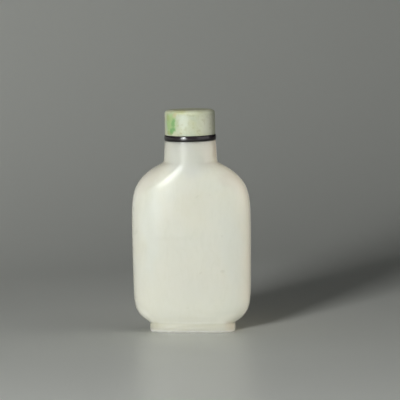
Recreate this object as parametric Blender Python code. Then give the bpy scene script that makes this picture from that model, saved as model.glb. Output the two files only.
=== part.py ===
"""A flattened jade snuff bottle with a collared stopper: bottle, collar and stopper_cap.

Metres, +Z up. The origin is the middle of the foot's underside, the front faces -Y and the
width runs along X. Every level section of the bottle is a superellipse, from the rounded
oblong of the foot and the body to the circle of the neck.
"""

import math

import bmesh
import bpy
import numpy as np

# Body, measured across its widest level
BODY_WIDTH = 0.03514
BODY_DEPTH = 0.0181
WIDEST_LEVEL = 0.0283
BODY_SQUARENESS = 3.12
SQUARE_LEVELS = (0.0120, 0.0433)
SIDE_TAPER = 0.014
LEAN = 0.0073

# How the body draws in: reach from the widest level, power and bend of the curve
WIDTH_ABOVE = (0.02465, 4.9, 0.934)
WIDTH_BELOW = (0.0293, 11.0, 1.25)
DEPTH_ABOVE = (0.0246, 2.4, 0.19)
DEPTH_BELOW = (0.0296, 8.4, 1.29)

# Neck and mouth
LIP_LEVEL = 0.05678
LIP_DIAMETER = 0.01517
LIP_ROUNDING = 0.0004
NECK_FLARE = 0.052
NECK_BASE_LEVEL = 0.0506
ROUND_LEVEL = 0.0509
NECK_FILLET_POWER = 17.0
NECK_FILLET_LEVELS = (0.0500, 0.0520)
MOUTH_DIAMETER = 0.0070
LIP_TILT = math.radians(0.9)

# Foot, a low rim around a hollowed base
FOOT_WIDTH = 0.0253
FOOT_DEPTH = 0.0134
FOOT_HEIGHT = 0.0027
FOOT_SQUARENESS = 3.1
FOOT_BULGE = 0.00012
FOOT_ROUNDING = 0.0004
FOOT_FILLET_POWER = 60.0
FOOT_FILLET_END = 0.0054
RIM_WIDTH = 0.0021
BASE_RECESS = 0.0011
BASE_SLOPE = 0.0016
BASE_BEND = 0.7
BASE_SQUARENESS = 2.6

# Hollow inside
WALL = 0.0031
FLOOR_LEVEL = 0.0056
FLOOR_RING_LEVEL = 0.0063
CAVITY_TOP_LEVEL = 0.0497
CAVITY_SQUARENESS = 3.0
BORE_FILLET_POWER = 8.0

# Stopper, which rests on the lip
REST_GAP = 0.0003
COLLAR_DIAMETER = 0.01544
COLLAR_THICKNESS = 0.00145
CAP_DIAMETER = 0.0149
CAP_HEIGHT = 0.0075
CAP_SHOULDER_WIDTH = 0.0024
CAP_SHOULDER_DROP = 0.0018
CAP_CROWN = 0.0002
CAP_EDGE = 0.0002
CAP_TOP_RADIUS = 0.0020

# Mesh
BOTTLE_SIDES = 60
TURNED_SIDES = 48
LEVEL_CROWDING = 1.8
CREASE_ANGLE = math.radians(35)


def section(half_width, half_depth, squareness, level, sides=BOTTLE_SIDES):
    """One level ring: |x/half_width|^squareness + |y/half_depth|^squareness = 1.

    It is an ellipse whose every point is pushed out along its own ray.
    """
    turn = 2 * math.pi * np.arange(sides) / sides
    across, along = np.cos(turn), np.sin(turn)
    push = (np.abs(across) ** squareness + np.abs(along) ** squareness) ** (-1 / squareness)
    x, y = half_width * push * across, half_depth * push * along
    return np.column_stack([x, y, np.full(sides, level)])


def drawn_in(level, above, below):
    """The share of its full size that the body keeps at a level: (1 - v^power)^bend."""
    reach, power, bend = above if level > WIDEST_LEVEL else below
    v = min(abs(level - WIDEST_LEVEL) / reach, 1.0)
    return (1 - v**power) ** bend


def blended(first, second, power):
    """The larger of two sizes, with a fillet where they are about equal."""
    return (first**power + second**power) ** (1 / power)


def eased(value, start, end):
    """0 up to start, 1 from end, and a smooth step between them."""
    share = min(max((value - start) / (end - start), 0.0), 1.0)
    return share * share * (3 - 2 * share)


def lean(level):
    """How far along X the bottle's axis stands at a level."""
    return -LEAN * (level - WIDEST_LEVEL)


def neck_radius(level):
    """The neck widens evenly from the lip down to its base."""
    return LIP_DIAMETER / 2 + NECK_FLARE * (LIP_LEVEL - max(level, NECK_BASE_LEVEL))


def foot_size(level):
    """Half-width and half-depth of the foot, whose flank bulges a little at mid-height."""
    off_middle = 2 * level / FOOT_HEIGHT - 1
    draw = FOOT_BULGE * off_middle**2
    return FOOT_WIDTH / 2 - draw, FOOT_DEPTH / 2 - draw


def outer_section(level):
    """The bottle's outside at a level of the foot's flank, the body or the neck."""
    tapered = BODY_WIDTH / 2 - SIDE_TAPER * max(WIDEST_LEVEL - level, 0.0)
    half_width = tapered * drawn_in(level, WIDTH_ABOVE, WIDTH_BELOW)
    half_depth = BODY_DEPTH / 2 * drawn_in(level, DEPTH_ABOVE, DEPTH_BELOW)
    if level > WIDEST_LEVEL:
        neck = neck_radius(level)
        half_width = blended(half_width, neck, NECK_FILLET_POWER)
        half_depth = blended(half_depth, neck, NECK_FILLET_POWER)
        roundness = eased(level, SQUARE_LEVELS[1], ROUND_LEVEL)
        squareness = BODY_SQUARENESS + (2 - BODY_SQUARENESS) * roundness
    else:
        if level < FOOT_FILLET_END:
            foot_width, foot_depth = foot_size(min(level, FOOT_HEIGHT))
            half_width = blended(half_width, foot_width, FOOT_FILLET_POWER)
            half_depth = blended(half_depth, foot_depth, FOOT_FILLET_POWER)
        footness = 1 - eased(level, FOOT_HEIGHT, SQUARE_LEVELS[0])
        squareness = BODY_SQUARENESS + (FOOT_SQUARENESS - BODY_SQUARENESS) * footness
    return section(half_width, half_depth, squareness, level)


def cavity_section(level):
    """The hollow's wall: the body's own curves drawn in by the wall, up to the mouth's bore."""
    above_share = (CAVITY_TOP_LEVEL - WIDEST_LEVEL) / WIDTH_ABOVE[0]
    below_share = (WIDEST_LEVEL - FLOOR_LEVEL) / WIDTH_BELOW[0]
    share = above_share if level > WIDEST_LEVEL else below_share
    outer_level = WIDEST_LEVEL + (level - WIDEST_LEVEL) / share
    half_width = (BODY_WIDTH / 2 - WALL) * drawn_in(outer_level, WIDTH_ABOVE, WIDTH_BELOW)
    half_depth = (BODY_DEPTH / 2 - WALL) * drawn_in(outer_level, DEPTH_ABOVE, DEPTH_BELOW)
    bore = MOUTH_DIAMETER / 2 if level > WIDEST_LEVEL else 0.0
    roundness = eased(level, WIDEST_LEVEL, CAVITY_TOP_LEVEL)
    return section(
        blended(half_width, bore, BORE_FILLET_POWER),
        blended(half_depth, bore, BORE_FILLET_POWER),
        CAVITY_SQUARENESS + (2 - CAVITY_SQUARENESS) * roundness,
        level,
    )


def foot_rings():
    """From the hollowed base out over the rim's flat underside and round its lower edge."""
    half_width, half_depth = foot_size(FOOT_ROUNDING)
    inner_width, inner_depth = half_width - RIM_WIDTH, half_depth - RIM_WIDTH
    rings = []
    for turn in np.linspace(math.pi / 2, 0, 5):
        drawn = BASE_SLOPE * math.sin(turn)
        level = BASE_RECESS * math.sin(turn) ** BASE_BEND
        roundness = (FOOT_SQUARENESS - BASE_SQUARENESS) * math.sin(turn)
        squareness = FOOT_SQUARENESS - roundness
        rings.append(section(inner_width - drawn, inner_depth - drawn, squareness, level))
    for turn in np.linspace(0, math.pi / 2, 4):
        drawn = FOOT_ROUNDING * (1 - math.sin(turn))
        level = FOOT_ROUNDING * (1 - math.cos(turn))
        rings.append(
            section(half_width - drawn, half_depth - drawn, FOOT_SQUARENESS, level)
        )
    return rings


def outer_levels():
    """Close together at the foot's joint, the lower corners, the shoulders and the neck's base."""
    flank = np.linspace(FOOT_ROUNDING, FOOT_HEIGHT, 5)[1:]
    corners = FOOT_HEIGHT + (WIDEST_LEVEL - FOOT_HEIGHT) * np.linspace(0, 1, 13)[1:] ** 2
    fillet_start, fillet_end = NECK_FILLET_LEVELS
    climb = 1 - (1 - np.linspace(0, 1, 14)[1:]) ** LEVEL_CROWDING
    shoulders = WIDEST_LEVEL + (fillet_start - WIDEST_LEVEL) * climb
    fillet = np.linspace(fillet_start, fillet_end, 5)[1:]
    neck = np.linspace(fillet_end, LIP_LEVEL - LIP_ROUNDING, 3)[1:]
    return np.concatenate([flank, corners, shoulders, fillet, neck])


def lip_rings():
    """Over the rounded lip, from the neck's outside to the bore."""
    rings = []
    outer = neck_radius(LIP_LEVEL - LIP_ROUNDING)
    for turn in np.linspace(0, math.pi / 2, 4)[1:]:
        radius = outer - LIP_ROUNDING * (1 - math.cos(turn))
        level = LIP_LEVEL - LIP_ROUNDING * (1 - math.sin(turn))
        rings.append(section(radius, radius, 2, level))
    bore = MOUTH_DIAMETER / 2
    rings.append(section(bore + LIP_ROUNDING, bore + LIP_ROUNDING, 2, LIP_LEVEL))
    rings.append(section(bore, bore, 2, LIP_LEVEL - LIP_ROUNDING))
    return rings


def cavity_rings():
    """From the foot of the bore down the inside of the shoulders and walls to the floor."""
    above = CAVITY_TOP_LEVEL - WIDEST_LEVEL
    shoulders = WIDEST_LEVEL + above * (1 - np.linspace(0, 1, 10) ** LEVEL_CROWDING)
    below = WIDEST_LEVEL - FLOOR_RING_LEVEL
    drop = 1 - (1 - np.linspace(0, 1, 8)[1:]) ** LEVEL_CROWDING
    walls = WIDEST_LEVEL - below * drop
    return [cavity_section(level) for level in (*shoulders, *walls)]


def hand_cut(rings):
    """Ground by hand: the lip is a touch out of square, and the axis leans from the foot up."""
    for ring in rings:
        level = ring[0, 2]
        ring[:, 2] += ring[:, 0] * math.tan(LIP_TILT) * eased(level, NECK_BASE_LEVEL, LIP_LEVEL)
        ring[:, 0] += lean(level)
    return rings


def lofted(name, rings):
    """A mesh object whose skin runs through the rings in order, closed at the first and last."""
    shape = bmesh.new()
    loops = [[shape.verts.new(point) for point in ring] for ring in rings]
    for near, far in zip(loops, loops[1:]):
        for i, vertex in enumerate(near):
            shape.faces.new((vertex, far[i], far[i - 1], near[i - 1]))
    shape.faces.new(loops[0])
    shape.faces.new(loops[-1])
    bmesh.ops.recalc_face_normals(shape, faces=shape.faces)
    mesh = bpy.data.meshes.new(name)
    shape.to_mesh(mesh)
    shape.free()
    mesh.shade_smooth()
    mesh.set_sharp_from_angle(angle=CREASE_ANGLE)
    made = bpy.data.objects.new(name, mesh)
    bpy.context.scene.collection.objects.link(made)
    return made


def turned(name, profile):
    """A lathe-turned object: the profile's (radius, height) points, each carried round Z."""
    rings = [section(radius, radius, 2, height, TURNED_SIDES) for radius, height in profile]
    return lofted(name, rings)


def material(name, color, roughness):
    made = bpy.data.materials.new(name)
    made.use_nodes = True
    shader = made.node_tree.nodes["Principled BSDF"]
    shader.inputs["Base Color"].default_value = (*color, 1.0)
    shader.inputs["Roughness"].default_value = roughness
    shader.inputs["Metallic"].default_value = 0.0
    return made


def bottle():
    """Foot, body and neck ground from one pebble, and hollowed through the mouth."""
    outside = [outer_section(level) for level in outer_levels()]
    rings = foot_rings() + outside + lip_rings() + cavity_rings()
    made = lofted("bottle", hand_cut(rings))
    made.data.materials.append(material("white_jade", (0.66, 0.67, 0.57), 0.22))


def collar(holder):
    """A black ring disc with a half-round edge, between the lip and the cap."""
    radius, half = COLLAR_DIAMETER / 2, COLLAR_THICKNESS / 2
    profile = []
    for turn in np.linspace(-math.pi / 2, math.pi / 2, 7):
        edge = radius - half * (1 - math.cos(turn))
        profile.append((edge, half + half * math.sin(turn)))
    made = turned("collar", profile)
    made.parent = holder
    made.location.z = REST_GAP
    made.data.materials.append(material("black_collar", (0.008, 0.008, 0.009), 0.08))


def stopper_cap(holder):
    """A short drum of apple-green jadeite, eased over at its top edge."""
    radius = CAP_DIAMETER / 2
    shoulder_level = CAP_HEIGHT - CAP_CROWN - CAP_SHOULDER_DROP
    flat = radius - CAP_SHOULDER_WIDTH
    profile = [(radius - CAP_EDGE, 0.0), (radius, CAP_EDGE)]
    for turn in np.linspace(0, math.pi / 2, 8):
        out = flat + CAP_SHOULDER_WIDTH * math.cos(turn)
        profile.append((out, shoulder_level + CAP_SHOULDER_DROP * math.sin(turn)))
    profile.append((CAP_TOP_RADIUS, CAP_HEIGHT))
    made = turned("stopper_cap", profile)
    made.parent = holder
    made.location.z = REST_GAP + COLLAR_THICKNESS + REST_GAP
    made.data.materials.append(material("green_jadeite", (0.50, 0.58, 0.42), 0.2))


def stopper():
    """The collar and the cap rest on the lip, tilted with it."""
    holder = bpy.data.objects.new("stopper_seat", None)
    bpy.context.scene.collection.objects.link(holder)
    holder.location = (lean(LIP_LEVEL), 0.0, LIP_LEVEL)
    holder.rotation_euler.y = -LIP_TILT
    collar(holder)
    stopper_cap(holder)


def clear_scene():
    for old in list(bpy.data.objects):
        bpy.data.objects.remove(old, do_unlink=True)


clear_scene()
bottle()
stopper()
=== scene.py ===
"""A flattened white jade snuff bottle, closed by a black collar and a cap of green jadeite.

Metres, +Z up. The bottle stands on its foot and its front faces -Y. Every piece is a surface
worked out ring by ring, and it takes its place and its scale from the fixed frame.
"""

import math

import bpy
import numpy as np
from mathutils import Matrix, Vector


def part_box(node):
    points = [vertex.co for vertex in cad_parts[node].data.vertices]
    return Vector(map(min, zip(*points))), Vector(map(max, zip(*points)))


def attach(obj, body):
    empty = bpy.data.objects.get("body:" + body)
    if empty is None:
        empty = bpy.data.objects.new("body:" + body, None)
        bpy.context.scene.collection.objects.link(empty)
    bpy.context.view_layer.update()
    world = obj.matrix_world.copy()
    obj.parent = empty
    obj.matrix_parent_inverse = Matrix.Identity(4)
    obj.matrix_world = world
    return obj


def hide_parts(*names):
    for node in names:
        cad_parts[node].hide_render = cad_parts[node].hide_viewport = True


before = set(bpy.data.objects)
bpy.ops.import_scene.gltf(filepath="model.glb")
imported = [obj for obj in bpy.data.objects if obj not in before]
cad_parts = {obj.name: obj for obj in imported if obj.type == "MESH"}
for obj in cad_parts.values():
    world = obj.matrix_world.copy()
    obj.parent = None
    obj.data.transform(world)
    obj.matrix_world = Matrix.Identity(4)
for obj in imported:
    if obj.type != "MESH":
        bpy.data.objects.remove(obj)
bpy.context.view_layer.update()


# --- The bottle ------------------------------------------------------------------------------
# One pebble of white nephrite, ground to a flattened form with rounded shoulders, a short
# cylindrical neck and a low foot rim, hollowed out through the mouth and polished by hand.
# The lip is a touch out of square and the axis leans a little, as hand grinding leaves them.

bottle_low, bottle_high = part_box("bottle")
bottle_height_mm = 56.9
mm = (bottle_high.z - bottle_low.z) / bottle_height_mm

body_width, body_depth = 35.13 * mm, 18.08 * mm
widest_level = 28.3 * mm
body_squareness, neck_squareness = 3.12, 2.0
square_low, square_high, round_level = 12.0 * mm, 43.3 * mm, 50.9 * mm
side_taper = 0.014
axis_lean = 0.0073

# How the body draws in: reach from the widest level, power and bend of the curve
width_above = (24.65 * mm, 4.9, 0.934)
width_below = (29.3 * mm, 11.0, 1.25)
depth_above = (24.6 * mm, 2.4, 0.19)
depth_below = (29.6 * mm, 8.4, 1.29)

lip_level = 56.86 * mm
lip_radius = 7.58 * mm
lip_rounding = 0.12 * mm
lip_tilt = math.radians(0.9)
neck_flare = 0.052
neck_base_level = 50.6 * mm
neck_fillet_low, neck_fillet_high = 49.6 * mm, 52.4 * mm
neck_fillet_power = 17
mouth_radius = 3.5 * mm

foot_width, foot_depth = 25.3 * mm, 13.4 * mm
foot_height = 2.7 * mm
foot_squareness, base_squareness = 3.1, 2.6
foot_rounding = 0.12 * mm
foot_bulge = 0.12 * mm
foot_rim = 2.1 * mm
foot_fillet_end = 5.4 * mm
foot_fillet_power = 60
base_recess, base_slope, base_bend = 1.1 * mm, 1.6 * mm, 0.7

wall = 3.1 * mm
floor_level, floor_ring_level = 5.6 * mm, 6.0 * mm
cavity_top = 49.7 * mm
cavity_squareness = 3.0
bore_fillet_power = 8

# Points round each ring, rings round an edge and across a face, and where the base's lie
columns = 256
edge_steps = 9
face_steps = 8
base_shares = (0.08, 0.92)


def eased(value, start, end):
    """0 up to start, 1 from end, and 3t^2 - 2t^3 between them."""
    share = np.clip((value - start) / (end - start), 0, 1)
    return share * share * (3 - 2 * share)


def blended(first, second, power):
    """The larger of two sizes, (first^p + second^p)^(1/p), with a fillet where they are equal."""
    return (first**power + second**power) ** (1 / power)


def drawn_in(level, above, below):
    """The share of full size kept at each level: (1 - v^power)^bend, v from 0 at the widest."""
    shares = []
    for reach, power, bend in (above, below):
        v = np.clip(np.abs(level - widest_level) / reach, 0, 1)
        shares.append((1 - v**power) ** bend)
    return np.where(level > widest_level, *shares)


def rings_of(half_width, half_depth, squareness, level):
    """A level ring for each row: |x/half_width|^n + |y/half_depth|^n = 1, with n the squareness.

    It is an ellipse whose every point is pushed out along its ray by (|cos|^n + |sin|^n)^(-1/n).
    """
    turn = 2 * math.pi * np.arange(columns) / columns
    across, along = np.cos(turn)[None, :], np.sin(turn)[None, :]
    sizes = (half_width, half_depth, squareness, level)
    wide, deep, n, height = (np.asarray(size, float)[:, None] for size in sizes)
    push = (np.abs(across) ** n + np.abs(along) ** n) ** (-1 / n)
    return np.stack([wide * push * across, deep * push * along, height + 0 * push], axis=2)


def base_and_rim():
    """From the middle of the base over the rim's flat underside and round its lower edge.

    The hollow under the base is a quarter wave and the edge is a quarter circle.
    """
    inner = np.array([foot_width, foot_depth]) / 2 - foot_bulge - foot_rim
    wave = np.linspace(math.pi / 2, 0, 2 * edge_steps)
    share = np.concatenate([np.linspace(*base_shares, face_steps), np.ones(len(wave))])
    depth = np.sin(np.concatenate([np.full(face_steps, math.pi / 2), wave]))
    hollow = rings_of(
        share * (inner[0] - base_slope * depth),
        share * (inner[1] - base_slope * depth),
        foot_squareness + (base_squareness - foot_squareness) * depth,
        base_recess * depth**base_bend,
    )
    turn = np.linspace(0, math.pi / 2, edge_steps)
    drawn = foot_bulge + foot_rounding * (1 - np.sin(turn))
    edge = rings_of(
        foot_width / 2 - drawn,
        foot_depth / 2 - drawn,
        np.full(edge_steps, foot_squareness),
        foot_rounding * (1 - np.cos(turn)),
    )
    return np.concatenate([hollow, edge])


def outside(level):
    """The foot's flank, the body and the neck at each level.

    Width and depth draw in by their own curves. The neck is blended with the shoulders, and the
    foot, whose flank bulges by a parabola, with the body's underside.
    """
    tapered = body_width / 2 - side_taper * np.maximum(widest_level - level, 0)
    wide = tapered * drawn_in(level, width_above, width_below)
    deep = body_depth / 2 * drawn_in(level, depth_above, depth_below)
    neck = lip_radius + neck_flare * (lip_level - np.maximum(level, neck_base_level))
    bulge = foot_bulge * (2 * np.minimum(level, foot_height) / foot_height - 1) ** 2
    upper, footed = level > widest_level, level < foot_fillet_end
    wide = np.where(upper, blended(wide, neck, neck_fillet_power), wide)
    deep = np.where(upper, blended(deep, neck, neck_fillet_power), deep)
    wide = np.where(footed, blended(wide, foot_width / 2 - bulge, foot_fillet_power), wide)
    deep = np.where(footed, blended(deep, foot_depth / 2 - bulge, foot_fillet_power), deep)
    roundness = eased(level, square_high, round_level)
    footness = 1 - eased(level, foot_height, square_low)
    squareness = body_squareness + (neck_squareness - body_squareness) * roundness
    squareness += (foot_squareness - body_squareness) * footness
    return rings_of(wide, deep, squareness, level)


def lip_and_bore():
    """Quarter circles over the lip's outer and inner edges, and down to the top of the hollow."""
    turn = np.linspace(0, math.pi / 2, edge_steps)[1:]
    outer = lip_radius - lip_rounding * (1 - np.cos(turn))
    inner = mouth_radius + lip_rounding * (1 - np.sin(turn))
    radius = np.concatenate([outer, inner])
    level = lip_level - lip_rounding * (1 - np.concatenate([np.sin(turn), np.cos(turn)]))
    return rings_of(radius, radius, np.full(len(radius), neck_squareness), level)


def hollow(level):
    """The body's own curves drawn in by the wall, blended above with the mouth's bore."""
    above = (cavity_top - widest_level) / width_above[0]
    below = (widest_level - floor_level) / width_below[0]
    upper = level > widest_level
    stretched = widest_level + (level - widest_level) / np.where(upper, above, below)
    wide = (body_width / 2 - wall) * drawn_in(stretched, width_above, width_below)
    deep = (body_depth / 2 - wall) * drawn_in(stretched, depth_above, depth_below)
    bore = np.where(upper, mouth_radius, 0.0)
    roundness = eased(level, widest_level, cavity_top)
    squareness = cavity_squareness + (neck_squareness - cavity_squareness) * roundness
    wide, deep = (blended(size, bore, bore_fillet_power) for size in (wide, deep))
    return rings_of(wide, deep, squareness, level)


def closed_skin(name, rings):
    """A mesh through the rings in order, closed round each ring and by a point at both ends."""
    rows, around = rings.shape[:2]
    poles = rings[[0, -1]].mean(axis=1)
    points = np.concatenate([rings.reshape(-1, 3), poles])
    near = np.arange(rows * around).reshape(rows, around)
    beside = np.roll(near, -1, axis=1)
    quads = np.stack([near[:-1], beside[:-1], beside[1:], near[1:]], axis=2).reshape(-1, 4)
    first = np.full(around, rows * around)
    start = np.stack([first, beside[0], near[0]], axis=1)
    end = np.stack([first + 1, near[-1], beside[-1]], axis=1)
    mesh = bpy.data.meshes.new(name)
    faces = quads.tolist() + start.tolist() + end.tolist()
    mesh.from_pydata(points.tolist(), [], faces)
    mesh.shade_smooth()
    piece = bpy.data.objects.new(name, mesh)
    bpy.context.scene.collection.objects.link(piece)
    return piece


# How many rings each stretch of the outline takes, and the powers by which they crowd
flank_rings, corner_rings, shoulder_rings = 12, 60, 70
fillet_rings, neck_rings, hollow_rings, floor_rings = 24, 14, 34, 24
corner_crowding, shoulder_crowding = 1.6, 1.5
hollow_crowding, floor_crowding = 1.6, 1.8


def bottle_rings():
    """Every ring from the middle of the base, up the outside, over the lip and down the inside.

    The levels crowd, by a power of an even share, where the outline turns fastest.
    """
    flank = np.linspace(foot_rounding, foot_height, flank_rings)[1:]
    rise = np.linspace(0, 1, corner_rings)[1:] ** corner_crowding
    corners = foot_height + (widest_level - foot_height) * rise
    climb = 1 - (1 - np.linspace(0, 1, shoulder_rings)[1:]) ** shoulder_crowding
    shoulders = widest_level + (neck_fillet_low - widest_level) * climb
    fillet = np.linspace(neck_fillet_low, neck_fillet_high, fillet_rings)[1:]
    neck = np.linspace(neck_fillet_high, lip_level - lip_rounding, neck_rings)[1:]
    drop = 1 - np.linspace(0, 1, hollow_rings) ** hollow_crowding
    down = widest_level + (cavity_top - widest_level) * drop
    sink = 1 - (1 - np.linspace(0, 1, floor_rings)[1:]) ** floor_crowding
    lower = widest_level - (widest_level - floor_ring_level) * sink
    return np.concatenate([
        base_and_rim(),
        outside(np.concatenate([flank, corners, shoulders, fillet, neck])),
        lip_and_bore(),
        hollow(np.concatenate([down, lower])),
    ])


# Hand-cut: the lip tilts about Y, from nothing at the neck's base, and the axis leans to -X
bottle_surface = bottle_rings()
level = bottle_surface[..., 2].copy()
tilt_share = eased(level, neck_base_level, lip_level)
bottle_surface[..., 2] += bottle_surface[..., 0] * math.tan(lip_tilt) * tilt_share
bottle_surface[..., 0] -= axis_lean * (level - widest_level)
bottle_stone = closed_skin("bottle_stone", bottle_surface)


def add(tree, kind, settings=None, **inputs):
    """A shader node with its settings, and its inputs by name, or by place as _0, _1 and so on."""
    node = tree.nodes.new(kind)
    for name, value in (settings or {}).items():
        setattr(node, name, value)
    for name, value in inputs.items():
        place = int(name[1:]) if name[1:].isdigit() else name.replace("_", " ")
        if isinstance(value, bpy.types.NodeSocket):
            tree.links.new(value, node.inputs[place])
        else:
            node.inputs[place].default_value = value
    return node


def spread(tree, value, low, high):
    """0 up to low and 1 from high, or the other way round, with a smooth step between them."""
    settings = {"interpolation_type": "SMOOTHSTEP"}
    node = add(tree, "ShaderNodeMapRange", settings, Value=value, From_Min=low, From_Max=high)
    return node.outputs["Result"]


def times(tree, value, factor):
    """A value times a factor."""
    node = add(tree, "ShaderNodeMath", {"operation": "MULTIPLY"}, _0=value, _1=factor)
    return node.outputs[0]


def mixed(tree, share, first, second):
    """Two colours mixed, the second by its share."""
    node = add(tree, "ShaderNodeMix", {"data_type": "RGBA"}, _0=share, _6=first, _7=second)
    return node.outputs[2]


def laid(tree, mask, share, color, tint):
    """The colour with a tint laid over it, by the mask times the share."""
    return mixed(tree, times(tree, mask, share), color, tint)


def warped(tree, vector, scale, reach):
    """The vector moved by a smooth noise of the scale, up to half the reach each way."""
    noise_middle = (0.5, 0.5, 0.5)
    noise = add(tree, "ShaderNodeTexNoise", Vector=vector, Scale=scale, Detail=2.0)
    centred = add(tree, "ShaderNodeVectorMath", {"operation": "SUBTRACT"},
                  _0=noise.outputs["Color"], _1=noise_middle)
    moved = add(tree, "ShaderNodeVectorMath", {"operation": "MULTIPLY_ADD"},
                _0=centred.outputs[0], _1=(reach, reach, reach), _2=vector)
    return moved.outputs[0]


# A spot is whole up to this share of its half sizes, and gone at this one
spot_core, spot_skin = 0.45, 1.15


def lobe(tree, vector, centre, turn, size):
    """1 in the core of an ellipsoid of the given half sizes in mm, fading to 0 round its skin."""
    node = add(tree, "ShaderNodeMapping", {"vector_type": "TEXTURE"}, Vector=vector,
               Location=centre, Rotation=(0.0, *turn), Scale=np.array(size) * mm)
    far = add(tree, "ShaderNodeVectorMath", {"operation": "LENGTH"}, _0=node.outputs["Vector"])
    return spread(tree, far.outputs["Value"], spot_skin, spot_core)


def clouded(tree, vector, origin, spots, color):
    """The colour with each spot laid over it, at its place in mm from the origin."""
    for spot, turn, size, share, tint in spots:
        mask = lobe(tree, vector, origin + np.array(spot) * mm, turn, size)
        color = laid(tree, mask, share, color, tint)
    return color


# From where to where each noise shows, how the fibres lie, and how the flecks are bent
cloud_range, fibre_range = (0.36, 0.66), (0.3, 0.7)
fleck_range, fleck_pick_range = (0.16, 0.02), (0.78, 0.92)
fibre_slant, fibre_stretch = (0.5, 0.35, 0.2), (1.0, 1.0, 0.28)
fleck_warp_scale, fleck_warp_reach = 500.0, 0.0012


def stone_grain():
    """The texture inside a polished stone: soft clouds, felted fibres and small dark flecks.

    Each size in metres becomes a noise scale of one over it. The fibres are a noise stretched
    along one slanting direction. The flecks are the middles of a few cells in a warped pattern.
    """
    group = bpy.data.node_groups.new("stone_grain", "ShaderNodeTree")
    group.interface.new_socket("Vector", in_out="INPUT", socket_type="NodeSocketVector")
    for name in ("Cloud Size", "Fibre Size", "Fleck Size"):
        group.interface.new_socket(name, in_out="INPUT", socket_type="NodeSocketFloat")
    for name in ("Clouds", "Fibres", "Flecks"):
        group.interface.new_socket(name, in_out="OUTPUT", socket_type="NodeSocketFloat")
    given, made = group.nodes.new("NodeGroupInput"), group.nodes.new("NodeGroupOutput")
    vector = given.outputs["Vector"]

    def per_metre(size):
        """One over a size."""
        metres = given.outputs[size]
        return add(group, "ShaderNodeMath", {"operation": "DIVIDE"}, _0=1.0, _1=metres).outputs[0]

    cloud = add(group, "ShaderNodeTexNoise", Vector=vector, Scale=per_metre("Cloud Size"),
                Detail=2.5, Roughness=0.5, Distortion=0.6)
    group.links.new(spread(group, cloud.outputs["Fac"], *cloud_range), made.inputs["Clouds"])

    slanted = add(group, "ShaderNodeMapping", Vector=vector, Rotation=fibre_slant,
                  Scale=fibre_stretch)
    fibre = add(group, "ShaderNodeTexNoise", Vector=slanted.outputs["Vector"],
                Scale=per_metre("Fibre Size"), Detail=4.0, Roughness=0.62, Distortion=1.2)
    group.links.new(spread(group, fibre.outputs["Fac"], *fibre_range), made.inputs["Fibres"])

    bent = warped(group, vector, fleck_warp_scale, fleck_warp_reach)
    cell = add(group, "ShaderNodeTexVoronoi", Vector=bent, Scale=per_metre("Fleck Size"))
    cell_pick = add(group, "ShaderNodeSeparateColor", Color=cell.outputs["Color"]).outputs["Red"]
    fleck = times(group, spread(group, cell.outputs["Distance"], *fleck_range),
                  spread(group, cell_pick, *fleck_pick_range))
    group.links.new(fleck, made.inputs["Flecks"])
    return group


grain_group = stone_grain()


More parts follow.
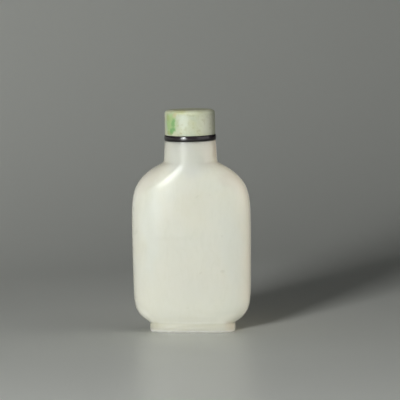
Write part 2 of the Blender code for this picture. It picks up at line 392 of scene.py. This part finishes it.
# Spots of other colours in the stone, and some of painted light and shade: place in mm, turns
# about Y and Z, half sizes across, through and up in mm, how much of the ground it covers, and
# its colour
jade_spots = [
    # Cool clouds down the left and the right, an olive one between them, a cool one on the neck
    ((-10.4, -8.0, 29.0), (0.05, -0.3), (3.0, 6.0, 16.0), 0.8, (0.61, 0.627, 0.56, 1)),
    ((13.0, -7.5, 24.0), (-0.06, 0.3), (4.0, 6.0, 17.0), 0.7, (0.588, 0.602, 0.535, 1)),
    ((2.4, -9.0, 36.5), (0.1, 0.0), (6.0, 4.0, 8.0), 0.5, (0.605, 0.60, 0.50, 1)),
    ((0.0, -7.5, 51.5), (0.0, 0.0), (7.5, 4.0, 7.0), 0.8, (0.555, 0.568, 0.53, 1)),
    # Warmer stone on both shoulders, and painted light on the left one's edge
    ((-11.0, -5.5, 45.5), (0.8, -0.4), (3.5, 4.0, 7.0), 0.8, (0.555, 0.54, 0.465, 1)),
    ((12.5, -6.0, 45.0), (-0.8, 0.4), (3.5, 4.0, 6.0), 0.7, (0.56, 0.545, 0.475, 1)),
    ((-13.4, -1.5, 47.3), (0.8, 0.0), (2.6, 4.0, 5.0), 0.7, (0.78, 0.76, 0.66, 1)),
    # Painted light at the two lower corners, darker down the left side, cooler low on the front
    ((-13.8, -4.5, 4.4), (-0.8, -0.4), (2.4, 4.0, 3.5), 0.6, (0.74, 0.74, 0.64, 1)),
    ((12.2, -5.0, 3.8), (1.0, 0.4), (3.0, 4.0, 4.5), 0.5, (0.74, 0.73, 0.63, 1)),
    ((-14.6, -6.5, 30.0), (0.05, -0.5), (1.7, 5.0, 18.0), 0.5, (0.57, 0.57, 0.485, 1)),
    ((-1.0, -9.0, 9.0), (0.0, 0.0), (15.0, 6.0, 10.0), 0.6, (0.603, 0.606, 0.532, 1)),
    # Painted shade, darker and pinkish, at the neck's right and on round its back, with a lighter
    # band in front
    ((7.4, -2.0, 54.0), (0.0, 1.15), (2.9, 2.2, 5.0), 0.9, (0.40, 0.36, 0.31, 1)),
    ((7.0, 3.0, 53.5), (0.0, 1.97), (5.0, 2.6, 6.0), 0.6, (0.46, 0.425, 0.365, 1)),
    ((5.3, -5.4, 54.0), (0.0, 0.8), (1.9, 2.0, 5.0), 0.6, (0.63, 0.615, 0.57, 1)),
    # Brownish at the right end of the foot and yellowish at the left
    ((12.3, -3.5, 1.6), (0.0, 0.0), (2.4, 3.0, 2.5), 0.7, (0.50, 0.43, 0.34, 1)),
    ((-11.3, -4.5, 1.4), (0.0, 0.0), (2.2, 3.0, 2.0), 0.6, (0.52, 0.50, 0.35, 1)),
    # Four faint specks
    ((3.0, -8.8, 40.7), (1.0, 0.0), (0.6, 1.5, 1.1), 0.22, (0.44, 0.45, 0.36, 1)),
    ((2.9, -9.0, 18.0), (0.8, 0.0), (0.5, 1.5, 0.8), 0.2, (0.44, 0.43, 0.35, 1)),
    ((9.7, -8.5, 18.2), (1.3, 0.0), (0.5, 1.5, 0.9), 0.28, (0.44, 0.43, 0.35, 1)),
    ((-14.6, -7.0, 28.8), (0.6, -0.5), (0.7, 2.0, 1.1), 0.3, (0.46, 0.47, 0.38, 1)),
]

# The ground is warm and cool by turns. Pale fibres run through it, both under and over the
# spots, with the tone of thinner stone in the gaps between them, and a few dull flecks.
jade_warm, jade_cool = (0.612, 0.61, 0.52, 1), (0.592, 0.602, 0.522, 1)
pale_fibre, under_share, over_share = (0.65, 0.652, 0.58, 1), 0.2, 0.1
thin_stone_and_neck_shade, gap_range, gap_share = (0.45, 0.455, 0.37, 1), (0.3, 0.0), 0.04
dull_fleck, dull_fleck_share = (0.33, 0.33, 0.25, 1), 0.12
jade_warp_scale, jade_warp_reach = 90.0, 0.008

# What changes with the level: painted shade at the neck, where the thinner stone carries less
# light, painted light on the body's underside, a yellower foot also darkened by painted shade,
# and painted light along its lower edge
neck_shade_range, neck_shade_share = (45 * mm, 53 * mm), 0.3
underside_painted_light, underside_light_share = (0.82, 0.82, 0.73, 1), 0.27
underside_light_range = (6.8 * mm, 3.2 * mm)
yellow_foot_and_shade, foot_share = (0.47, 0.46, 0.335, 1), 0.45
foot_range = (3.2 * mm, 2.5 * mm)
foot_edge_painted_light, foot_edge_light_range = (0.92, 0.91, 0.79, 1), (1.1 * mm, 0.1 * mm)


def white_jade():
    """Nephrite of a warm greenish white, faintly clouded and flecked, with a soft waxy polish.

    Each colour is mixed over the ones before it, by a mask times a share.
    """
    material = bpy.data.materials.new("white_jade_polished")
    material.use_nodes = True
    tree = material.node_tree
    shader = tree.nodes["Principled BSDF"]
    place = add(tree, "ShaderNodeTexCoord").outputs["Object"]
    grain = add(tree, "ShaderNodeGroup", {"node_tree": grain_group}, Vector=place,
                Cloud_Size=0.013, Fibre_Size=0.0016, Fleck_Size=0.0034)
    clouds, fibres, flecks = (grain.outputs[n] for n in ("Clouds", "Fibres", "Flecks"))
    color = mixed(tree, clouds, jade_warm, jade_cool)
    color = laid(tree, fibres, under_share, color, pale_fibre)
    bent = warped(tree, place, jade_warp_scale, jade_warp_reach)
    color = clouded(tree, bent, np.zeros(3), jade_spots, color)
    color = laid(tree, fibres, over_share, color, pale_fibre)
    color = laid(tree, spread(tree, fibres, *gap_range), gap_share, color, thin_stone_and_neck_shade)
    color = laid(tree, flecks, dull_fleck_share, color, dull_fleck)
    height = add(tree, "ShaderNodeSeparateXYZ", Vector=place).outputs["Z"]
    # Painted shade: the neck takes the thin stone's darker tone, for the light that thinner stone
    # loses
    color = laid(tree, spread(tree, height, *neck_shade_range), neck_shade_share, color, thin_stone_and_neck_shade)
    # Painted light: the body's underside, which faces down away from the lamps, is made paler
    underside = spread(tree, height, *underside_light_range)
    color = laid(tree, underside, underside_light_share, color, underside_painted_light)
    # The foot is yellower, and darker too as painted shade
    color = laid(tree, spread(tree, height, *foot_range), foot_share, color, yellow_foot_and_shade)
    # Painted light: a pale band along the foot's lower edge, where it meets the paper
    color = mixed(tree, spread(tree, height, *foot_edge_light_range), color, foot_edge_painted_light)
    tree.links.new(color, shader.inputs["Base Color"])
    rough = add(tree, "ShaderNodeMapRange", Value=fibres, To_Min=0.145, To_Max=0.185)
    tree.links.new(rough.outputs["Result"], shader.inputs["Roughness"])
    wave = add(tree, "ShaderNodeTexNoise", Vector=place, Scale=260.0, Detail=2.0)
    bump = add(tree, "ShaderNodeBump", Strength=0.03, Distance=0.0004, Height=wave.outputs["Fac"])
    tree.links.new(bump.outputs["Normal"], shader.inputs["Normal"])
    shader.inputs["IOR"].default_value = 1.61
    shader.inputs["Specular IOR Level"].default_value = 0.12
    shader.inputs["Subsurface Weight"].default_value = 1.0
    shader.inputs["Subsurface Radius"].default_value = (1.0, 1.0, 1.0)
    shader.inputs["Subsurface Scale"].default_value = 0.009
    return material


bottle_stone.data.materials.append(white_jade())
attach(bottle_stone, "root")
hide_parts("bottle")


# --- The collar ------------------------------------------------------------------------------
# A ring disc of black horn, turned with a half-round edge and polished. It is glued under the
# cap and rests on the bottle's lip, so that the two stones never touch.

collar_low, collar_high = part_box("collar")
collar_centre = np.array((collar_low + collar_high) / 2)
collar_radius = (collar_high.y - collar_low.y) / 2
collar_half = 0.85 * mm
collar_drop = 0.06 * mm
round_squareness = 2.0
collar_edge = 0.3 * mm
collar_edge_power = 2.2
collar_edge_rings = 49
collar_face_shares = (0.1, 0.95)


def turned(name, radius, height, centre, fall=0.0):
    """A lathe-turned skin of (radius, height) rings round an axis tilted with the lip.

    The top can fall towards the back: by fall times the distance behind the front edge.
    """
    points = rings_of(radius, radius, np.full(len(radius), round_squareness), height)
    behind = points[..., 1] + radius.max()
    points[..., 2] -= fall * behind * eased(points[..., 2], 0, height.max())
    x, z = points[..., 0].copy(), points[..., 2].copy()
    points[..., 0] = x * math.cos(lip_tilt) - z * math.sin(lip_tilt)
    points[..., 2] = x * math.sin(lip_tilt) + z * math.cos(lip_tilt)
    return closed_skin(name, points + centre)


# The edge is a flattened half round: |out|^p + |up|^p = 1
turn = np.linspace(-math.pi / 2, math.pi / 2, collar_edge_rings)
push = np.abs(np.cos(turn)) ** collar_edge_power + np.abs(np.sin(turn)) ** collar_edge_power
push = push ** (-1 / collar_edge_power)
edge_radius = collar_radius - collar_edge * (1 - push * np.cos(turn))
edge_height = push * np.sin(turn)
face_radius = np.linspace(*collar_face_shares, face_steps) * edge_radius[0]
face_height = np.ones(face_steps)
collar_ring = turned(
    "collar_ring",
    np.concatenate([face_radius, edge_radius, face_radius[::-1]]),
    collar_half * np.concatenate([-face_height, edge_height, face_height]) - collar_drop,
    collar_centre,
)

# Black horn, brown along its streaks, and painted shade where the edge turns under
horn_black, horn_brown = (0.016, 0.012, 0.014, 1), (0.031, 0.025, 0.028, 1)
horn_painted_shade, painted_shade_drop = (0.002, 0.002, 0.002, 1), 0.6 * mm
streak_stretch = (1.0, 1.0, 6.0)


def black_horn():
    """Near-black and glossy, with faint streaks along the turning, and painted shade under its
    edge.
    """
    material = bpy.data.materials.new("black_horn")
    material.use_nodes = True
    tree = material.node_tree
    shader = tree.nodes["Principled BSDF"]
    place = add(tree, "ShaderNodeTexCoord").outputs["Object"]
    flat = add(tree, "ShaderNodeMapping", Vector=place, Scale=streak_stretch)
    streak = add(tree, "ShaderNodeTexNoise", Vector=flat.outputs["Vector"], Scale=420.0,
                 Detail=3.0)
    color = mixed(tree, streak.outputs["Fac"], horn_black, horn_brown)
    height = add(tree, "ShaderNodeSeparateXYZ", Vector=place).outputs["Z"]
    below = spread(tree, height, collar_centre[2], collar_centre[2] - painted_shade_drop)
    color = mixed(tree, below, color, horn_painted_shade)
    tree.links.new(color, shader.inputs["Base Color"])
    rough = add(tree, "ShaderNodeMapRange", Value=streak.outputs["Fac"], To_Min=0.13, To_Max=0.19)
    tree.links.new(rough.outputs["Result"], shader.inputs["Roughness"])
    shader.inputs["Specular IOR Level"].default_value = 0.65
    return material


collar_ring.data.materials.append(black_horn())
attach(collar_ring, "root")
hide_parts("collar")


# --- The cap ---------------------------------------------------------------------------------
# A short drum of apple-green jadeite with its top edge eased over, polished, mottled, and with
# one vivid emerald patch. It sits on the collar.

cap_low, cap_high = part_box("stopper_cap")
cap_centre = np.array((cap_low + cap_high) / 2)
cap_radius = (cap_high.y - cap_low.y) / 2
cap_height = 7.5 * mm
cap_shoulder_width, cap_shoulder_drop = 1.5 * mm, 1.0 * mm
cap_edge = 0.2 * mm
cap_crown = 0.08 * mm
cap_fall = 0.018
cap_drop = 0.2 * mm
cap_edge_rings, cap_side_rings, cap_top_rings = 25, 20, 14
cap_under_shares, cap_top_shares = (0.1, 0.97), (0.97, 0.06)

# A flat underside, a quarter circle at its edge, a straight side, a quarter ellipse over the
# shoulder, and a top that rises to its middle by a parabola
flat_radius = cap_radius - cap_shoulder_width
shoulder_level = cap_height - cap_crown - cap_shoulder_drop
under_radius = np.linspace(*cap_under_shares, face_steps) * (cap_radius - cap_edge)
turn = np.linspace(0, math.pi / 2, cap_edge_rings)
side_height = np.linspace(cap_edge - cap_drop, shoulder_level, cap_side_rings)[1:-1]
top_radius = np.linspace(*cap_top_shares, cap_top_rings) * flat_radius
cap_stone = turned(
    "cap_stone",
    np.concatenate([
        under_radius,
        cap_radius - cap_edge * (1 - np.sin(turn)),
        np.full(len(side_height), cap_radius),
        flat_radius + cap_shoulder_width * np.cos(turn),
        top_radius,
    ]),
    np.concatenate([
        np.full(face_steps, -cap_drop),
        cap_edge * (1 - np.cos(turn)) - cap_drop,
        side_height,
        shoulder_level + cap_shoulder_drop * np.sin(turn),
        cap_height - cap_crown * (top_radius / flat_radius) ** 2,
    ]) - cap_height / 2,
    cap_centre,
    cap_fall,
)


# Spots of other colours in the stone, and of painted highlight and painted light: place in mm
# from the cap's middle, turns about Y and Z, half sizes across, through and up in mm, how much
# of the ground it covers, and its colour
cap_spots = [
    # A yellower and a paler band under the top edge, and between them a cool painted highlight
    ((-2.3, -7.0, 3.2), (0.0, -0.3), (3.0, 3.0, 1.3), 0.7, (0.475, 0.505, 0.275, 1)),
    ((-0.9, -7.4, 0.2), (0.0, 0.0), (2.0, 3.0, 2.6), 0.6, (0.55, 0.595, 0.51, 1)),
    ((1.6, -7.1, 3.2), (0.0, 0.2), (2.6, 3.0, 1.1), 0.5, (0.60, 0.63, 0.48, 1)),
    # Paler and cooler round the right side: partly a greyer tone of the stone, partly painted
    # light
    ((6.6, -3.6, -0.6), (0.0, 0.95), (4.9, 3.4, 4.4), 0.8, (0.61, 0.62, 0.50, 1)),
    # The emerald patch on the left, two olive freckles in it, its lower rim and two dark strokes
    ((-5.1, -5.5, -0.3), (0.05, -0.7), (2.8, 2.5, 3.7), 0.82, (0.30, 0.455, 0.175, 1)),
    ((-3.7, -6.4, 2.1), (0.3, -0.5), (1.0, 1.5, 1.0), 0.6, (0.48, 0.42, 0.25, 1)),
    ((-5.9, -4.4, 1.4), (0.4, -0.85), (1.1, 1.5, 1.3), 0.55, (0.34, 0.40, 0.17, 1)),
    ((-5.4, -5.0, -3.1), (0.0, -0.8), (1.6, 1.5, 0.7), 0.6, (0.30, 0.36, 0.13, 1)),
    ((-4.1, -6.2, -0.1), (0.45, -0.6), (0.9, 1.5, 1.6), 0.62, (0.13, 0.32, 0.11, 1)),
    ((-4.5, -6.1, -2.4), (0.8, -0.6), (0.95, 1.5, 1.7), 0.75, (0.12, 0.31, 0.11, 1)),
    # Two brown specks
    ((-1.7, -7.2, -2.9), (0.4, 0.0), (0.5, 1.5, 0.4), 0.5, (0.36, 0.34, 0.20, 1)),
    ((3.6, -6.5, -2.3), (1.0, 0.5), (0.35, 1.5, 0.6), 0.4, (0.36, 0.34, 0.22, 1)),
]

# The ground is yellow and cool by turns, with pale fibres, brown mottles and dark flecks
celadon_yellow, celadon_cool = (0.49, 0.51, 0.345, 1), (0.455, 0.50, 0.385, 1)
celadon_fibre, celadon_fibre_share = (0.54, 0.565, 0.45, 1), 0.4
brown_mottle, mottle_share = (0.38, 0.375, 0.22, 1), 0.32
mottle_range = (0.48, 0.34)
dark_fleck, dark_fleck_share = (0.25, 0.225, 0.13, 1), 0.3
cap_warp_scale, cap_warp_reach = 900.0, 0.0014


def green_jadeite():
    """Celadon jade, granular, with an emerald patch on the front left and brownish mottles.

    Each colour is mixed over the ones before it, by a mask times a share.
    """
    material = bpy.data.materials.new("green_jadeite_polished")
    material.use_nodes = True
    tree = material.node_tree
    shader = tree.nodes["Principled BSDF"]
    place = add(tree, "ShaderNodeTexCoord").outputs["Object"]
    grain = add(tree, "ShaderNodeGroup", {"node_tree": grain_group}, Vector=place,
                Cloud_Size=0.0045, Fibre_Size=0.0009, Fleck_Size=0.0019)
    clouds, fibres, flecks = (grain.outputs[n] for n in ("Clouds", "Fibres", "Flecks"))
    color = mixed(tree, clouds, celadon_yellow, celadon_cool)
    color = laid(tree, fibres, celadon_fibre_share, color, celadon_fibre)
    bent = warped(tree, place, cap_warp_scale, cap_warp_reach)
    color = clouded(tree, bent, cap_centre, cap_spots, color)
    granules = add(tree, "ShaderNodeTexNoise", Vector=place, Scale=950.0, Detail=3.0)
    mottles = spread(tree, granules.outputs["Fac"], *mottle_range)
    color = laid(tree, mottles, mottle_share, color, brown_mottle)
    color = laid(tree, flecks, dark_fleck_share, color, dark_fleck)
    tree.links.new(color, shader.inputs["Base Color"])
    rough = add(tree, "ShaderNodeMapRange", Value=fibres, To_Min=0.32, To_Max=0.40)
    tree.links.new(rough.outputs["Result"], shader.inputs["Roughness"])
    shader.inputs["IOR"].default_value = 1.66
    shader.inputs["Specular IOR Level"].default_value = 0.13
    shader.inputs["Subsurface Weight"].default_value = 0.5
    shader.inputs["Subsurface Radius"].default_value = (1.0, 1.0, 0.9)
    shader.inputs["Subsurface Scale"].default_value = 0.0008
    return material


cap_stone.data.materials.append(green_jadeite())
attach(cap_stone, "root")
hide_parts("stopper_cap")


# --- The studio ------------------------------------------------------------------------------
# A pale grey paper sweep, which runs flat under the bottle and curves up gently behind it. One
# small low lamp gives form and cast shadow, two soft boxes that only a polish mirrors give the
# shine, and a dim card at the right lifts the shadows.

sweep_front, sweep_bend, sweep_end, sweep_half_width = -1.4, 0.142, 0.45, 2.5
sweep_rise, sweep_power = 1.667, 2.2
sweep_turn = math.radians(42)
sweep_flat_rows, sweep_curve_rows = 12, 60

# Flat as far as the bend, then rising by sweep_rise times a power of the distance past it
flat = np.linspace(sweep_front, sweep_bend, sweep_flat_rows)
curve = np.linspace(sweep_bend, sweep_end, sweep_curve_rows)[1:]
along = np.concatenate([flat, curve])
rise = sweep_rise * np.maximum(along - sweep_bend, 0) ** sweep_power
sides = np.array([[-sweep_half_width, sweep_half_width]])
sweep_points = np.stack([
    math.cos(sweep_turn) * sides - math.sin(sweep_turn) * along[:, None],
    math.sin(sweep_turn) * sides + math.cos(sweep_turn) * along[:, None],
    rise[:, None] + 0 * sides,
], axis=2).reshape(-1, 3)
first = 2 * np.arange(len(along) - 1)
sweep_faces = np.stack([first, first + 1, first + 3, first + 2], axis=1)
mesh = bpy.data.meshes.new("paper_sweep")
mesh.from_pydata(sweep_points.tolist(), [], sweep_faces.tolist())
mesh.shade_smooth()
paper = bpy.data.objects.new("paper_sweep", mesh)
bpy.context.scene.collection.objects.link(paper)

# The paper's colour darkens softly round the foot, as painted shade where the bottle shuts out
# the light from above
paper_open, paper_painted_shade = (0.84, 0.862, 0.806, 1), (0.37, 0.38, 0.355, 1)
painted_shade_reach = 0.05
material = bpy.data.materials.new("pale_paper")
material.use_nodes = True
tree = material.node_tree
shader = tree.nodes["Principled BSDF"]
openness = add(tree, "ShaderNodeAmbientOcclusion", {"samples": 8}, Distance=painted_shade_reach)
paper_color = mixed(tree, openness.outputs["AO"], paper_painted_shade, paper_open)
tree.links.new(paper_color, shader.inputs["Base Color"])
shader.inputs["Roughness"].default_value = 0.40
shader.inputs["Specular IOR Level"].default_value = 0.3
paper.data.materials.append(material)

# The bottle's middle, which the lights face and the camera aims by
middle = np.array([0.0, 0.0, 0.033])


def direction(azimuth, elevation):
    """The unit vector from the object: azimuth 0 is the front, -Y, and 90 the right, +X."""
    a, e = math.radians(azimuth), math.radians(elevation)
    return np.array([math.sin(a) * math.cos(e), -math.cos(a) * math.cos(e), math.sin(e)])


def soft_light(name, azimuth, elevation, distance, width, height, power):
    """A rectangular soft light that faces the bottle's middle."""
    lamp = bpy.data.lights.new(name, "AREA")
    lamp.shape = "RECTANGLE"
    lamp.size, lamp.size_y = width, height
    lamp.energy = power
    made = bpy.data.objects.new(name, lamp)
    bpy.context.scene.collection.objects.link(made)
    away = direction(azimuth, elevation)
    made.location = middle + distance * away
    made.rotation_euler = Vector(-away).to_track_quat("-Z", "Y").to_euler()
    made.visible_camera = False
    return made


key_light = soft_light("key_light", azimuth=-14.7, elevation=10.9, distance=0.78,
                       width=0.154, height=0.116, power=6.1)
key_light.visible_glossy = False
high_softbox = soft_light("shine_softbox", azimuth=-22, elevation=17.5, distance=0.9,
                          width=0.24, height=0.28, power=5.9)
low_softbox = soft_light("low_softbox", azimuth=-22, elevation=0.5, distance=0.9,
                         width=0.38, height=0.2, power=2.35)
softbox_tint = (0.95, 1.0, 0.98)
for softbox in (high_softbox, low_softbox):
    softbox.data.color = softbox_tint
    softbox.visible_diffuse = False
soft_light("right_card", azimuth=71, elevation=14, distance=0.8,
           width=0.95, height=0.5, power=1.15)

# Warm, matt lights from the sides and from behind fall on the stones alone, and stand in for
# the light that they carry through. Each has its azimuth, elevation, power and stones.
glow_distance, glow_size, glow_tint = 0.8, 0.5, (1.0, 0.91, 0.83)
jade_alone = bpy.data.collections.new("jade_alone")
jade_alone.objects.link(bottle_stone)
both_stones = bpy.data.collections.new("both_stones")
both_stones.objects.link(bottle_stone)
both_stones.objects.link(cap_stone)
glows = (
    (115, 18, 5.4, jade_alone),
    (-145, 45, 1.1, jade_alone),
    (-100, 55, 0.6, jade_alone),
    (-145, 45, 1.5, both_stones),
    (150, 45, 0.7, both_stones),
)
for azimuth, elevation, power, stones in glows:
    glow = soft_light("glow", azimuth, elevation, glow_distance, glow_size, glow_size, power)
    glow.data.color = glow_tint
    glow.visible_glossy = False
    glow.light_linking.receiver_collection = stones

world = bpy.data.worlds.new("studio")
bpy.context.scene.world = world
world.use_nodes = True
background = world.node_tree.nodes["Background"]
background.inputs["Color"].default_value = (0.95, 1.0, 0.97, 1)
background.inputs["Strength"].default_value = 0.014


# --- The camera ------------------------------------------------------------------------------
# A long lens a metre away, a little to the right of the front and a little above. It aims
# beside and over the bottle's middle, so that the bottle stands low and left in the picture.

view_azimuth, view_elevation, view_distance = 7.76, 5.9, 1.0
view_roll = math.radians(-0.36)
view_width = 0.1189
aim_right, aim_up = 0.00259, 0.00602

back = direction(view_azimuth, view_elevation)
right = np.array([math.cos(math.radians(view_azimuth)), math.sin(math.radians(view_azimuth)), 0])
up = np.cross(back, right)
camera_data = bpy.data.cameras.new("camera")
camera_data.sensor_width = 36
camera_data.lens = camera_data.sensor_width * view_distance / view_width
camera_data.clip_end = 10
camera = bpy.data.objects.new("camera", camera_data)
bpy.context.scene.collection.objects.link(camera)
camera.location = middle + view_distance * back
look = Vector(aim_right * right + aim_up * up - view_distance * back)
level_view = look.to_track_quat("-Z", "Y").to_matrix()
camera.rotation_euler = (level_view @ Matrix.Rotation(view_roll, 3, "Z")).to_euler()
bpy.context.scene.camera = camera
bpy.context.scene.view_settings.view_transform = "Standard"
